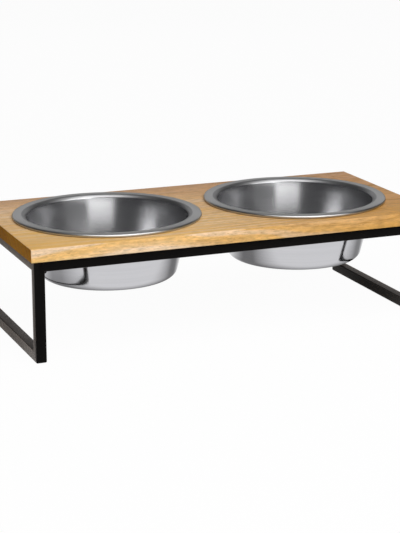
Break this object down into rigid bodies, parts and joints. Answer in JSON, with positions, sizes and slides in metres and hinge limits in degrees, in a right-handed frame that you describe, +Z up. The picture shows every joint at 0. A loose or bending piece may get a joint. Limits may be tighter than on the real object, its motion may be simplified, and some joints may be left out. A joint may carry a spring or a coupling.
{
  "type": "elevated pet feeder",
  "caption": "Low raised feeder: a wooden board on a black square-tube steel stand, with round holes that hold lift-out flanged stainless steel bowls.",
  "frame": {"origin": "on the floor under the middle of the board", "axes": "+X along the board to the right, -Y towards the front, +Z up"},
  "size_m": [0.522, 0.255, 0.141],
  "materials": {
    "board_wood": "satin oiled",
    "bowl_steel": "brushed inside, polished outside",
    "black_coat": "satin powder coat",
    "screw_steel": "zinc plated"
  },
  "bodies": {
    "stand": {"board": "board_wood", "front_rail": "black_coat", "rear_rail": "black_coat", "left_top_bar": "black_coat", "right_top_bar": "black_coat", "left_floor_runner": "black_coat", "right_floor_runner": "black_coat", "front_left_leg": "black_coat", "rear_left_leg": "black_coat", "front_right_leg": "black_coat", "rear_right_leg": "black_coat", "front_left_gusset": "black_coat", "rear_left_gusset": "black_coat", "front_right_gusset": "black_coat", "rear_right_gusset": "black_coat", "front_tab": "black_coat", "rear_tab": "black_coat", "weld_beads": "black_coat", "board_screws": "screw_steel"},
    "left_bowl": {"left_bowl": "bowl_steel"},
    "right_bowl": {"right_bowl": "bowl_steel"}
  },
  "joints": [
    {"name": "left_bowl_lift", "type": "slide", "parent": "stand", "child": "left_bowl", "axis": [0, 0, 1], "range_m": [0, 0.09]},
    {"name": "right_bowl_lift", "type": "slide", "parent": "stand", "child": "right_bowl", "axis": [0, 0, 1], "range_m": [0, 0.09]}
  ]
}
